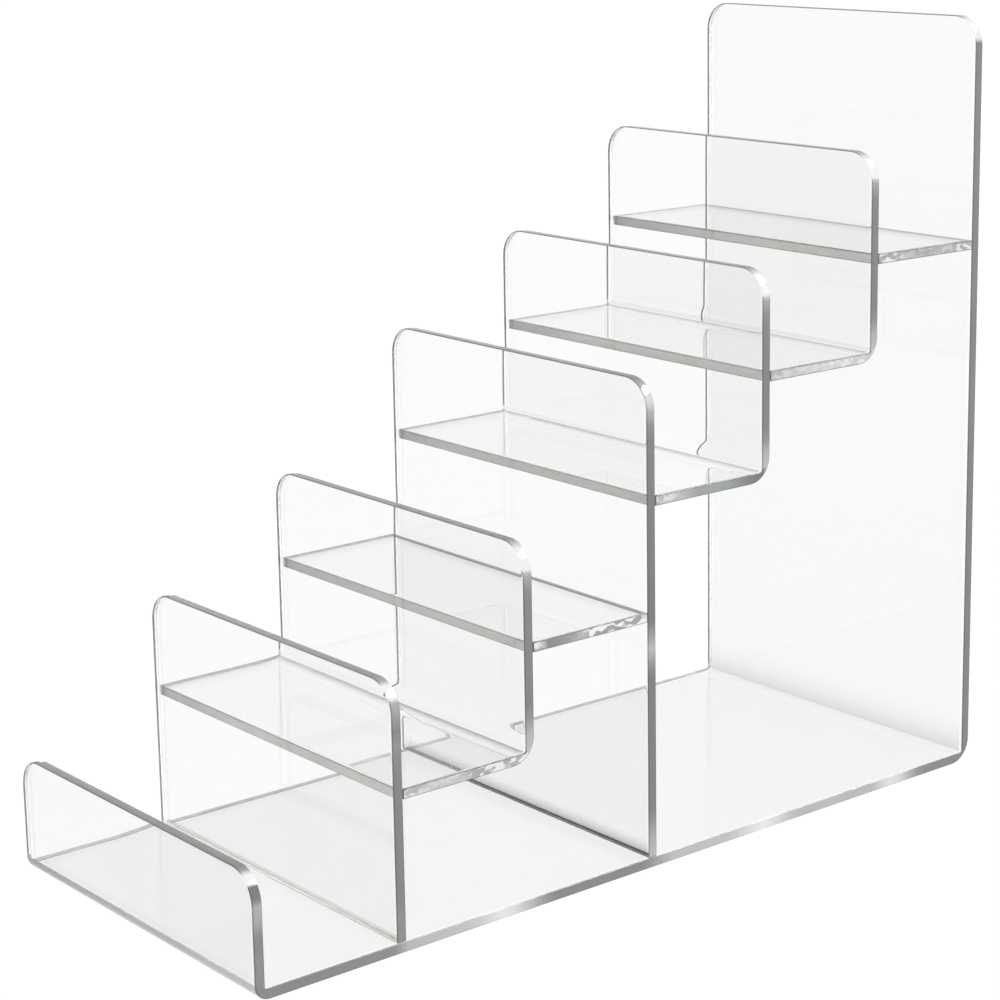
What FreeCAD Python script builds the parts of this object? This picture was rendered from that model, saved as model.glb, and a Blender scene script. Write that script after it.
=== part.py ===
import FreeCAD, Part
import os

import Sketcher

# Six-tier nail polish rack of clear acrylic sheet.
#
# Frame: +Z up, the lip at the front faces -Y, the tall back stands at +Y, the width runs along X.
# The origin is on the table under the middle of the floor. All sizes are millimetres.
#
# Eight sheets of one thickness make the rack. Four of them are bent on a hot wire: the base, which is
# the front lip, the floor and the back in one, and the three shelves that carry their own riser. Their
# bends are crisp inside and drawn round outside, so the sheet is thinner there. The other four are
# flat. Every butt joint between them holds a thin film of cured cement.

DIMENSIONS = {
    "rack_width": 120.0,
    "sheet_thickness": 3.0,
    "tier_pitch": 45.0,
    "cement_film": 0.1,
    "corner_radius": 9.0,
    "bend_inner_radius": 0.5,
    "lip_bend_outer_radius": 4.5,
    "rear_bend_outer_radius": 7.5,
    "lip_1_top": 35.0,
    "lip_2_top": 75.5,
    "lip_3_top": 105.0,
    "lip_4_top": 144.0,
    "lip_5_top": 170.0,
    "lip_6_top": 200.0,
    "back_top": 238.0,
    "shelf_2_top": 46.0,
    "shelf_3_top": 77.0,
    "shelf_4_top": 110.5,
    "shelf_5_top": 140.0,
    "shelf_6_top": 169.5,
}

SHEET_NAME = "Dimensions"
TIERS = 6
PARTS_FOLDER = "parts"
EDGE_TOLERANCE = 1e-4
REARWARD = +1
FORWARD = -1


def dim(alias):
    """Expression for one cell of the sheet of dimensions."""
    return SHEET_NAME + "." + alias


THICKNESS = dim("sheet_thickness")
FILM = dim("cement_film")
PITCH = dim("tier_pitch")
WIDTH = dim("rack_width")
DEPTH = f"({TIERS} * {PITCH} + {THICKNESS})"


def add_dimensions(doc):
    """Put the driving dimensions in a spreadsheet, one aliased cell each."""
    sheet = doc.addObject("Spreadsheet::Sheet", SHEET_NAME)
    for row, (alias, value) in enumerate(DIMENSIONS.items(), start=1):
        sheet.set(f"A{row}", alias)
        sheet.set(f"B{row}", str(value))
        sheet.setAlias(f"B{row}", alias)
    doc.recompute()


def place(item, depth_from_front, up, across="0"):
    """Bind an item's place: depth is measured back from the front face of the lip."""
    item.setExpression("Placement.Base.x", across)
    item.setExpression("Placement.Base.y", f"{depth_from_front} - {DEPTH} / 2")
    item.setExpression("Placement.Base.z", up)


def origin_plane(body, role):
    """The body's own origin plane with the given role."""
    return next(feature for feature in body.Origin.OriginFeatures if feature.Role == role)


def add_outline(body, corners):
    """Sketch a closed outline of level and plumb lines on the plane across the rack's width.

    Each corner is a pair of expressions, how far back and how far up it is from the body's own origin.
    """
    sketch = body.newObject("Sketcher::SketchObject", body.Label + "_outline")
    sketch.AttachmentSupport = [(origin_plane(body, "YZ_Plane"), "")]
    sketch.MapMode = "FlatFace"
    points = [
        FreeCAD.Vector(float(sketch.evalExpression(back)), float(sketch.evalExpression(up)), 0)
        for back, up in corners
    ]
    count = len(corners)
    for line in range(count):
        sketch.addGeometry(Part.LineSegment(points[line], points[(line + 1) % count]))
    for line in range(count):
        following = (line + 1) % count
        back, up = corners[line]
        level = up == corners[following][1]
        sketch.addConstraint(Sketcher.Constraint("Coincident", line, 2, following, 1))
        sketch.addConstraint(Sketcher.Constraint("Horizontal" if level else "Vertical", line))
        distance = up if level else back
        axis = -1 if level else -2
        if distance == "0":
            sketch.addConstraint(Sketcher.Constraint("PointOnObject", line, 1, axis))
        else:
            value = points[line].y if level else points[line].x
            kind = "DistanceY" if level else "DistanceX"
            index = sketch.addConstraint(Sketcher.Constraint(kind, -1, 1, line, 1, value))
            sketch.setExpression(f"Constraints[{index}]", distance)
    return sketch


def edges_where(shape, direction, test):
    """Names of the straight edges along a direction whose middle passes the test."""
    names = []
    for number, edge in enumerate(shape.Edges, start=1):
        if not isinstance(edge.Curve, Part.Line):
            continue
        if abs(edge.Curve.Direction.dot(direction)) < 1 - EDGE_TOLERANCE:
            continue
        if test(edge.CenterOfMass):
            names.append(f"Edge{number}")
    return names


def round_edges(body, name, direction, test, radius):
    """Fillet the chosen edges of the body's last feature."""
    base = body.Tip
    fillet = body.newObject("PartDesign::Fillet", f"{body.Label}_{name}")
    fillet.Base = (base, edges_where(base.Shape, direction, test))
    fillet.setExpression("Radius", radius)
    base.Document.recompute()


def add_sheet(doc, name, corners):
    """Pad an outline to the rack's full width, evenly about the middle."""
    body = doc.addObject("PartDesign::Body", name)
    sketch = add_outline(body, corners)
    pad = body.newObject("PartDesign::Pad", name + "_pad")
    pad.Profile = sketch
    pad.SideType = "Symmetric"
    pad.setExpression("Length", WIDTH)
    doc.recompute()
    return body


def round_bend(body, back, up, outward):
    """Round one bend: the edge inside it, then the edge one thickness away outside it, more widely.

    Args:
        body: The sheet's body.
        back: Expression for how far back the inside edge is from the body's origin.
        up: Expression for how far up that edge is.
        outward: REARWARD or FORWARD, the side of the inside edge that the outside edge is on.
    """
    inner_back = float(body.evalExpression(back))
    inner_up = float(body.evalExpression(up))
    thickness = float(body.evalExpression(THICKNESS))
    outer_back = inner_back + outward * thickness
    outer_up = inner_up - thickness
    across = FreeCAD.Vector(1, 0, 0)

    def at_inner_edge(middle):
        return abs(middle.y - inner_back) < EDGE_TOLERANCE and abs(middle.z - inner_up) < EDGE_TOLERANCE

    def at_outer_edge(middle):
        return abs(middle.y - outer_back) < EDGE_TOLERANCE and abs(middle.z - outer_up) < EDGE_TOLERANCE

    side = "rear" if outward == REARWARD else "lip"
    round_edges(body, side + "_bend_inside", across, at_inner_edge, dim("bend_inner_radius"))
    round_edges(body, side + "_bend_outside", across, at_outer_edge, dim(side + "_bend_outer_radius"))


def round_top_corners(body, name, up):
    """Round the two free top corners of an upright at the given height above the body's origin."""
    top = float(body.evalExpression(up))
    half_width = float(body.evalExpression(f"{WIDTH} / 2"))

    def at_corner(middle):
        return abs(middle.z - top) < EDGE_TOLERANCE and abs(abs(middle.x) - half_width) < EDGE_TOLERANCE

    round_edges(body, name, FreeCAD.Vector(0, 1, 0), at_corner, dim("corner_radius"))


def add_base(doc):
    """The base: front lip, floor and tall back, one sheet with two bends."""
    front_lip_top = dim("lip_1_top")
    back_top = dim("back_top")
    back_front_face = f"{DEPTH} - {THICKNESS}"
    corners = [
        ("0", "0"),
        (DEPTH, "0"),
        (DEPTH, back_top),
        (back_front_face, back_top),
        (back_front_face, THICKNESS),
        (THICKNESS, THICKNESS),
        (THICKNESS, front_lip_top),
        ("0", front_lip_top),
    ]
    body = add_sheet(doc, "base_sheet", corners)
    round_top_corners(body, "lip_corners", front_lip_top)
    round_top_corners(body, "back_corners", back_top)
    round_bend(body, THICKNESS, THICKNESS, FORWARD)
    round_bend(body, back_front_face, THICKNESS, REARWARD)
    place(body, "0", "0")
    return body


def riser_front(tier):
    """Expression for how far back a tier's upright stands from the front of the rack."""
    return f"{tier - 1} * {PITCH}"


def shelf_top(tier):
    """Expression for the height of a raised shelf's upper face."""
    return dim(f"shelf_{tier}_top")


def lip_top(tier):
    """Expression for the height of the top edge of a tier's upright."""
    return dim(f"lip_{tier}_top")


def add_flat_riser(doc, tier):
    """A flat upright that stands on the floor and is the front lip of its tier."""
    height = f"{lip_top(tier)} - {THICKNESS} - {FILM}"
    corners = [("0", "0"), (THICKNESS, "0"), (THICKNESS, height), ("0", height)]
    body = add_sheet(doc, f"tier_{tier}_riser", corners)
    round_top_corners(body, "corners", height)
    place(body, riser_front(tier), f"{THICKNESS} + {FILM}")
    return body


def add_bent_shelf(doc, tier):
    """A shelf whose rear bends up into the riser of the tier behind it."""
    reach = f"{PITCH} - {FILM}"
    riser_front_face = f"{reach} - {THICKNESS}"
    underside = f"({shelf_top(tier)} - {THICKNESS})"
    height = f"{lip_top(tier + 1)} - {underside}"
    corners = [
        ("0", "0"),
        (reach, "0"),
        (reach, height),
        (riser_front_face, height),
        (riser_front_face, THICKNESS),
        ("0", THICKNESS),
    ]
    body = add_sheet(doc, f"tier_{tier}_shelf", corners)
    round_top_corners(body, "corners", height)
    round_bend(body, riser_front_face, THICKNESS, REARWARD)
    place(body, f"{riser_front(tier)} + {THICKNESS} + {FILM}", underside)
    return body


def add_flat_shelf(doc, tier):
    """A flat strip cemented between two uprights."""
    reach = f"{PITCH} - {THICKNESS} - 2 * {FILM}"
    corners = [("0", "0"), (reach, "0"), (reach, THICKNESS), ("0", THICKNESS)]
    body = add_sheet(doc, f"tier_{tier}_shelf", corners)
    place(body, f"{riser_front(tier)} + {THICKNESS} + {FILM}", f"{shelf_top(tier)} - {THICKNESS}")
    return body


def add_seam(doc, name, depth_from_front, up, run_back, rise):
    """A film of cured cement that fills one butt joint over the rack's full width."""
    film = doc.addObject("Part::Box", name)
    film.setExpression("Length", WIDTH)
    film.setExpression("Width", run_back)
    film.setExpression("Height", rise)
    place(film, depth_from_front, up, across=f"-{WIDTH} / 2")
    return film


def add_floor_seam(doc, tier):
    """The film under a riser that stands on the floor."""
    return add_seam(doc, f"tier_{tier}_floor_seam", riser_front(tier), THICKNESS, THICKNESS, FILM)


def add_front_seam(doc, tier):
    """The film between a shelf's front edge and the back face of its own riser."""
    depth = f"{riser_front(tier)} + {THICKNESS}"
    underside = f"{shelf_top(tier)} - {THICKNESS}"
    return add_seam(doc, f"tier_{tier}_front_seam", depth, underside, FILM, THICKNESS)


def add_rear_seam(doc, tier):
    """The film between a flat shelf's rear edge and the upright behind it."""
    depth = f"{riser_front(tier + 1)} - {FILM}"
    underside = f"{shelf_top(tier)} - {THICKNESS}"
    return add_seam(doc, f"tier_{tier}_rear_seam", depth, underside, FILM, THICKNESS)


def check_document(doc, pieces):
    """Stop before anything is written if a feature failed or a piece has no sound solid."""
    for item in doc.Objects:
        if "Invalid" in item.State or "Error" in item.State:
            raise RuntimeError(f"{item.Label} failed: {item.State}")
    for piece in pieces:
        shape = piece.Shape
        if shape.isNull() or not shape.isValid() or len(shape.Solids) != 1:
            raise RuntimeError(f"{piece.Label} is not one valid solid")


def main():
    """Build every sheet and seam, check them and write one STEP file for each."""
    doc = FreeCAD.newDocument("nail_polish_rack")
    add_dimensions(doc)
    floor_standing_tiers = (2, 4)
    bent_tiers = (2, 4, 5)
    flat_tiers = (3, 6)
    raised_tiers = range(2, TIERS + 1)

    pieces = [add_base(doc)]
    pieces += [add_flat_riser(doc, tier) for tier in floor_standing_tiers]
    pieces += [add_bent_shelf(doc, tier) for tier in bent_tiers]
    pieces += [add_flat_shelf(doc, tier) for tier in flat_tiers]
    pieces += [add_floor_seam(doc, tier) for tier in floor_standing_tiers]
    pieces += [add_front_seam(doc, tier) for tier in raised_tiers]
    pieces += [add_rear_seam(doc, tier) for tier in flat_tiers]

    doc.recompute()
    check_document(doc, pieces)
    os.makedirs(PARTS_FOLDER, exist_ok=True)
    for piece in pieces:
        piece.Shape.exportStep(os.path.join(PARTS_FOLDER, piece.Label + ".step"))
        box = piece.Shape.BoundBox
        print(
            f"{piece.Label}: volume {piece.Shape.Volume:.2f} mm3, "
            f"x {box.XMin:.2f}..{box.XMax:.2f}, y {box.YMin:.2f}..{box.YMax:.2f}, "
            f"z {box.ZMin:.2f}..{box.ZMax:.2f}"
        )


main()
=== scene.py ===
"""Clear acrylic nail polish rack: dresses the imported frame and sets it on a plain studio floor."""

import logging
import math
from dataclasses import dataclass
from enum import Enum
from functools import cache
from typing import Callable

import bmesh
import bpy
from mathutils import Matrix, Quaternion, Vector, noise

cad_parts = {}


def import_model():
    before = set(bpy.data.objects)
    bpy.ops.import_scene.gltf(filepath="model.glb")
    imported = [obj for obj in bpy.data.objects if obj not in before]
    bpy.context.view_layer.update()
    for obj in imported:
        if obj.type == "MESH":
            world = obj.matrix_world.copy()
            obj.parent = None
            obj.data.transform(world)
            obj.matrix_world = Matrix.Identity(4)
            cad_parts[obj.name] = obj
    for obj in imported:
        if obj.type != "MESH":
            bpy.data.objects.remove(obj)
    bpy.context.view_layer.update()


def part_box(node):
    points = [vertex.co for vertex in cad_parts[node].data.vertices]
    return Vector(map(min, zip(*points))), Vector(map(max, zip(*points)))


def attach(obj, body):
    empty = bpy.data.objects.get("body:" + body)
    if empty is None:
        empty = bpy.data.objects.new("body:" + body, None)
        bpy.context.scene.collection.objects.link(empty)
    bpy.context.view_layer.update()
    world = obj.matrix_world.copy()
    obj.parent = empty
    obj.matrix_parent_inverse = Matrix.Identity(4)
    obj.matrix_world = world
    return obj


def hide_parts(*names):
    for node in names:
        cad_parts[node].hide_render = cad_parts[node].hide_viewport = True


LOG = logging.getLogger("nail_polish_rack")
MILLIMETRE = 0.001
# Per corner: the sheets' tint, with painted highlights and painted shade on edges, bends, joints and ends.
TONE_LAYER = "tone"
# Per corner: scuffs that dull the clear faces, and painted glints on the cut edges.
WEAR_AND_GLINT_LAYER = "wear_and_glint"
WHITE = "#FFFFFF"
FULL = 1.0
BYTE_TOP = 255
# The sRGB curve: where its straight toe ends, the toe's slope, and the offset and power of the rest.
TOE_END, TOE_SLOPE, CURVE_OFFSET, CURVE_POWER = 0.04045, 12.92, 0.055, 2.4
# Socket numbers, where names repeat: a Mix node's in colour mode and a multiply-and-add Math node's.
MIX_SHARE, MIX_FIRST, MIX_SECOND, MIX_RESULT = 0, 6, 7, 2
MATH_VALUE, MATH_TIMES, MATH_PLUS = 0, 1, 2
# How much of a face's normal points one way: nearly all of it, at least half, or next to none.
MOSTLY, PARTLY, HARDLY = 0.7, 0.5, 0.3
AXIS_Y, AXIS_Z = 1, 2


def linear(hex_colour: str) -> tuple[float, float, float, float]:
    """Turn an sRGB hex colour into linear light.

    Args:
        hex_colour: Six hex digits, with or without a leading hash.

    Returns:
        Red, green, blue and an alpha of one, in linear light.
    """
    channels = [byte / BYTE_TOP for byte in bytes.fromhex(hex_colour.lstrip("#"))]
    red, green, blue = [part / TOE_SLOPE if part <= TOE_END
                        else ((part + CURVE_OFFSET) / (1 + CURVE_OFFSET)) ** CURVE_POWER for part in channels]
    return (red, green, blue, 1.0)


def add_object(name: str, mesh: bmesh.types.BMesh) -> bpy.types.Object:
    """Turn a finished mesh into an object at the origin.

    Args:
        name: The name of the object and of its mesh.
        mesh: The finished mesh, which is freed.

    Returns:
        The object.
    """
    data = bpy.data.meshes.new(name)
    mesh.to_mesh(data)
    mesh.free()
    piece = bpy.data.objects.new(name, data)
    bpy.context.scene.collection.objects.link(piece)
    return piece


def add_node(tree: bpy.types.NodeTree, kind: str, settings: dict | None = None,
             links: dict | None = None) -> bpy.types.Node:
    """Add one node, with its settings and its incoming links.

    Args:
        tree: The node tree that gets the node.
        kind: The node's type identifier.
        settings: Attribute or input names (or input numbers) and their values.
        links: Input names or numbers, and the sockets that feed them.

    Returns:
        The new node.
    """
    node = tree.nodes.new(kind)
    for name, value in (settings or {}).items():
        if isinstance(name, str) and hasattr(node, name):
            setattr(node, name, value)
        else:
            node.inputs[name].default_value = value
    for name, socket in (links or {}).items():
        tree.links.new(socket, node.inputs[name])
    return node


def new_material(name: str) -> tuple[bpy.types.Material, bpy.types.NodeTree, bpy.types.Node,
                                     bpy.types.NodeSocket]:
    """Make an empty material.

    Args:
        name: The material's name.

    Returns:
        The material, its node tree, its output node and the socket that gives a place on the object.
    """
    material = bpy.data.materials.new(name)
    material.use_nodes = True
    tree = material.node_tree
    tree.nodes.clear()
    output = add_node(tree, "ShaderNodeOutputMaterial")
    return material, tree, output, add_node(tree, "ShaderNodeTexCoord").outputs["Object"]


class Surface(Enum):
    """The surfaces of an acrylic sheet, in the order of its material slots."""

    FACE = 0
    CUT_EDGE = 1
    ARRIS = 2


@dataclass(frozen=True)
class CastAcrylicFace:
    """Polished cast acrylic: water-clear and smooth, a breath of grey where sheets overlap.

    Acrylic's own index is 1.49. The lower one is a choice for looks: it weakens the reflections and the
    bending of one sheet seen in another.
    """

    refraction: float = 1.28
    smear_size: float = 18 * MILLIMETRE
    smear_detail: float = 3.0
    smear_range: tuple[float, float] = (0.35, 0.75)
    smear_roughness: tuple[float, float] = (0.0, 0.02)
    scuff_roughness: float = 0.12
    wave_size: float = 55 * MILLIMETRE
    wave_detail: float = 1.0
    wave_height: float = 0.004 * MILLIMETRE

    def material(self) -> bpy.types.Material:
        """Build the material: faint wiped smears in the gloss and the slight waviness of cast sheet.

        Returns:
            The material.
        """
        material, tree, output, place = new_material("polished cast acrylic")
        smear = add_node(tree, "ShaderNodeTexNoise",
                         {"Scale": 1 / self.smear_size, "Detail": self.smear_detail}, {"Vector": place})
        gloss = add_node(tree, "ShaderNodeMapRange",
                         {"From Min": self.smear_range[0], "From Max": self.smear_range[1],
                          "To Min": self.smear_roughness[0], "To Max": self.smear_roughness[1]},
                         {"Value": smear.outputs["Fac"]})
        wave = add_node(tree, "ShaderNodeTexNoise",
                        {"Scale": 1 / self.wave_size, "Detail": self.wave_detail}, {"Vector": place})
        relief = add_node(tree, "ShaderNodeBump", {"Strength": FULL, "Distance": self.wave_height},
                          {"Height": wave.outputs["Fac"]})
        # The recorded tone is the sheet's tint, with painted shade along bends, joints and ends and a painted
        # white highlight beside the ends.
        tone = add_node(tree, "ShaderNodeAttribute", {"attribute_name": TONE_LAYER})
        scuffs = add_node(tree, "ShaderNodeAttribute", {"attribute_name": WEAR_AND_GLINT_LAYER})
        worn = add_node(tree, "ShaderNodeMath",
                        {"operation": "MULTIPLY_ADD", MATH_TIMES: self.scuff_roughness},
                        {MATH_VALUE: scuffs.outputs["Fac"], MATH_PLUS: gloss.outputs["Result"]})
        shader = add_node(tree, "ShaderNodeBsdfPrincipled",
                          {"IOR": self.refraction, "Transmission Weight": FULL},
                          {"Base Color": tone.outputs["Color"], "Roughness": worn.outputs[0],
                           "Normal": relief.outputs["Normal"]})
        tree.links.new(shader.outputs["BSDF"], output.inputs["Surface"])
        return material


@dataclass(frozen=True)
class PolishedCutEdge:
    """Saw-cut edge after flame polishing: glossy, with faint chatter from the saw; its greys and whites are
    painted shade and highlights, its light and dark flecks painted glints.
    """

    refraction: float = 1.49
    clear_share: float = 0.12
    roughness: float = 0.11
    bloom_size: float = 26 * MILLIMETRE
    bloom_detail: float = 3.0
    bloom_range: tuple[float, float] = (0.3, 0.7)
    bloom_depth: tuple[float, float] = (0.95, 1.05)
    glint_size: float = 1.5 * MILLIMETRE
    glint_stretch: tuple[float, float, float] = (1.0, 0.7, 1.3)
    glint_turn: float = 35.0
    glint_range: tuple[float, float] = (0.35, 0.6)
    glint_dark: str = "#A2A4A6"
    saw_pitch: float = 0.9 * MILLIMETRE
    saw_detail: float = 1.0
    saw_height: float = 0.006 * MILLIMETRE

    def material(self) -> bpy.types.Material:
        """Build the material: the recorded painted tone, slow blooms over it, painted glints where they are
        recorded.

        Returns:
            The material.
        """
        material, tree, output, place = new_material("flame-polished acrylic edge")
        tone = add_node(tree, "ShaderNodeAttribute", {"attribute_name": TONE_LAYER})
        bloom = add_node(tree, "ShaderNodeTexNoise",
                         {"Scale": 1 / self.bloom_size, "Detail": self.bloom_detail}, {"Vector": place})
        depth = add_node(tree, "ShaderNodeMapRange",
                         {"From Min": self.bloom_range[0], "From Max": self.bloom_range[1],
                          "To Min": self.bloom_depth[0], "To Max": self.bloom_depth[1]},
                         {"Value": bloom.outputs["Fac"]})
        bloomed = add_node(tree, "ShaderNodeMix",
                           {"data_type": "RGBA", "blend_type": "MULTIPLY", MIX_SHARE: FULL},
                           {MIX_FIRST: tone.outputs["Color"], MIX_SECOND: depth.outputs["Result"]})
        # Painted glints: light and dark flecks, mixed in by the recorded glint share.
        glints = add_node(tree, "ShaderNodeAttribute", {"attribute_name": WEAR_AND_GLINT_LAYER})
        turned = add_node(tree, "ShaderNodeMapping", {"Rotation": (math.radians(self.glint_turn), 0, 0),
                                                      "Scale": self.glint_stretch}, {"Vector": place})
        facets = add_node(tree, "ShaderNodeTexVoronoi", {"Scale": 1 / self.glint_size},
                          {"Vector": turned.outputs["Vector"]})
        sparkle = add_node(tree, "ShaderNodeSeparateColor", links={"Color": facets.outputs["Color"]})
        crisp = add_node(tree, "ShaderNodeMapRange",
                         {"From Min": self.glint_range[0], "From Max": self.glint_range[1]},
                         {"Value": sparkle.outputs["Red"]})
        glint_tone = add_node(tree, "ShaderNodeMix",
                              {"data_type": "RGBA", MIX_FIRST: linear(self.glint_dark),
                               MIX_SECOND: linear(WHITE)}, {MIX_SHARE: crisp.outputs["Result"]})
        colour = add_node(tree, "ShaderNodeMix", {"data_type": "RGBA"},
                          {MIX_SHARE: glints.outputs["Fac"], MIX_FIRST: bloomed.outputs[MIX_RESULT],
                           MIX_SECOND: glint_tone.outputs[MIX_RESULT]})
        saw = add_node(tree, "ShaderNodeTexNoise",
                       {"Scale": 1 / self.saw_pitch, "Detail": self.saw_detail}, {"Vector": place})
        relief = add_node(tree, "ShaderNodeBump", {"Strength": FULL, "Distance": self.saw_height},
                          {"Height": saw.outputs["Fac"]})
        shader = add_node(tree, "ShaderNodeBsdfPrincipled",
                          {"IOR": self.refraction, "Transmission Weight": self.clear_share,
                           "Roughness": self.roughness},
                          {"Base Color": colour.outputs[MIX_RESULT], "Normal": relief.outputs["Normal"]})
        tree.links.new(shader.outputs["BSDF"], output.inputs["Surface"])
        return material


@dataclass(frozen=True)
class ScrapedArris:
    """The corner line where a face meets a cut edge, scraped and melted round: a thin outline in painted
    shade, or painted highlight beside a bright edge.
    """

    depth: float = 0.85
    refraction: float = 1.49
    clear_share: float = 0.1
    roughness: float = 0.06
    nick_size: float = 1.5 * MILLIMETRE
    nick_height: float = 0.004 * MILLIMETRE

    def material(self) -> bpy.types.Material:
        """Build the material: a glossy line with tiny unevenness from the scraper.

        Returns:
            The material.
        """
        material, tree, output, place = new_material("scraped acrylic arris")
        tone = add_node(tree, "ShaderNodeAttribute", {"attribute_name": TONE_LAYER})
        nick = add_node(tree, "ShaderNodeTexNoise", {"Scale": 1 / self.nick_size}, {"Vector": place})
        worn = add_node(tree, "ShaderNodeMapRange", {"To Min": self.depth, "To Max": FULL},
                        {"Value": nick.outputs["Fac"]})
        colour = add_node(tree, "ShaderNodeMix",
                          {"data_type": "RGBA", "blend_type": "MULTIPLY", MIX_SHARE: FULL},
                          {MIX_FIRST: tone.outputs["Color"], MIX_SECOND: worn.outputs["Result"]})
        relief = add_node(tree, "ShaderNodeBump", {"Strength": FULL, "Distance": self.nick_height},
                          {"Height": nick.outputs["Fac"]})
        shader = add_node(tree, "ShaderNodeBsdfPrincipled",
                          {"IOR": self.refraction, "Transmission Weight": self.clear_share,
                           "Roughness": self.roughness},
                          {"Base Color": colour.outputs[MIX_RESULT], "Normal": relief.outputs["Normal"]})
        tree.links.new(shader.outputs["BSDF"], output.inputs["Surface"])
        return material


@dataclass(frozen=True)
class CuredCement:
    """Cured acrylic cement: clear, a little milky with fine bubbles."""

    clear: str = "#FAFAF9"
    milky: str = "#DCDDDB"
    refraction: float = 1.28
    clear_share: float = 0.97
    bubble_size: float = 1.2 * MILLIMETRE
    bubble_reach: float = 0.35
    roughness: float = 0.05

    def material(self) -> bpy.types.Material:
        """Build the material: clear film with small milky bubbles.

        Returns:
            The material.
        """
        material, tree, output, place = new_material("cured acrylic cement")
        bubble = add_node(tree, "ShaderNodeTexVoronoi", {"Scale": 1 / self.bubble_size}, {"Vector": place})
        share = add_node(tree, "ShaderNodeMapRange",
                         {"From Min": 0.0, "From Max": self.bubble_reach, "To Min": FULL, "To Max": 0.0},
                         {"Value": bubble.outputs["Distance"]})
        shade = add_node(tree, "ShaderNodeMix",
                         {"data_type": "RGBA", MIX_FIRST: linear(self.clear),
                          MIX_SECOND: linear(self.milky)}, {MIX_SHARE: share.outputs["Result"]})
        shader = add_node(tree, "ShaderNodeBsdfPrincipled",
                          {"IOR": self.refraction, "Transmission Weight": self.clear_share,
                           "Roughness": self.roughness}, {"Base Color": shade.outputs[MIX_RESULT]})
        tree.links.new(shader.outputs["BSDF"], output.inputs["Surface"])
        return material


@dataclass(frozen=True)
class StudioFloorPaint:
    """Opal white table top lit from below: even white, no hard shadows."""

    colour: str = "#FEFEFE"
    mottle_size: float = 0.4
    glow: float = 1.0
    painted: str = "#101010"
    roughness: float = 0.9
    shine: float = 0.2

    def material(self) -> bpy.types.Material:
        """Build the material: matt white with a barely visible mottle.

        Returns:
            The material.
        """
        material, tree, output, place = new_material("matt white studio floor")
        mottle = add_node(tree, "ShaderNodeTexNoise", {"Scale": 1 / self.mottle_size}, {"Vector": place})
        tone = add_node(tree, "ShaderNodeMix",
                        {"data_type": "RGBA", MIX_FIRST: linear(self.colour), MIX_SECOND: linear(WHITE)},
                        {MIX_SHARE: mottle.outputs["Fac"]})
        shader = add_node(tree, "ShaderNodeBsdfPrincipled",
                          {"Base Color": linear(self.painted), "Roughness": self.roughness,
                           "Specular IOR Level": self.shine, "Emission Strength": self.glow},
                          {"Emission Color": tone.outputs[MIX_RESULT]})
        tree.links.new(shader.outputs["BSDF"], output.inputs["Surface"])
        return material


@dataclass
class Finishes:
    """The finishes that the sheets and the seams share."""

    face: bpy.types.Material
    cut_edge: bpy.types.Material
    arris: bpy.types.Material
    cement: bpy.types.Material

    @classmethod
    def make(cls) -> "Finishes":
        """Build every finish once."""
        return cls(CastAcrylicFace().material(), PolishedCutEdge().material(),
                   ScrapedArris().material(), CuredCement().material())


Outline = list[tuple[float, float]]
EdgeTest = Callable[[Vector, Vector], bool]
ToneStops = tuple[tuple[float, str], ...]
GlintStops = tuple[tuple[float, float], ...]

# Greys painted on the cut edges: millimetres along the edge, then the tone there. Whites are painted
# highlights,
# darker greys painted shade: light trapped in a sheet, coming out at its rounded corners, bends and joints.
UPRIGHT_TONES: ToneStops = (
    (0.0, "#7C7C7C"), (0.05, "#8A8A8A"), (0.5, "#B8B8B8"), (1.4, "#F0F0F0"), (2.2, "#FFFFFF"),
    (7.2, "#FFFFFF"), (8.4, "#B6B6B6"), (11.0, "#9C9C9C"), (14.5, "#888888"))
LIP_TONES: ToneStops = (
    (0.0, "#7E7E7E"), (0.7, "#A8A8A8"), (1.4, "#FFFFFF"), (3.6, "#FFFFFF"), (3.9, "#7E7E7E"),
    (7.0, "#828282"), (9.0, "#B4B4B4"), (13.0, "#B0B0B0"), (16.0, "#8A8A8A"), (400.0, "#888888"))
RISER_2_TONES: ToneStops = (
    (0.0, "#8A8A8A"), (0.1, "#9A9A9A"), (0.7, "#B4B4B4"), (1.4, "#FFFFFF"), (4.6, "#FFFFFF"),
    (5.2, "#BCBCBC"), (10.0, "#9C9C9C"), (15.0, "#7C7C7C"), (18.0, "#A0A0A0"), (22.0, "#888888"))
RISER_4_TONES: ToneStops = (
    (0.0, "#7C7C7C"), (0.3, "#8C8C8C"), (1.4, "#B0B0B0"), (3.5, "#DADADA"), (6.0, "#E8E8E8"),
    (9.5, "#B0B0B0"), (14.5, "#888888"), (73.0, "#7C7C7C"), (75.5, "#C4C4C4"), (79.0, "#BEBEBE"),
    (84.0, "#808080"), (127.0, "#828282"), (138.0, "#BEBEBE"), (400.0, "#C4C4C4"))
BACK_TONES: ToneStops = (
    (0.0, "#747474"), (0.05, "#8C8C8C"), (0.4, "#D0D0D0"), (1.2, "#FFFFFF"), (6.6, "#FFFFFF"),
    (8.0, "#8C8C8C"), (220.0, "#848484"), (400.0, "#6E6E6E"))
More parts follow.
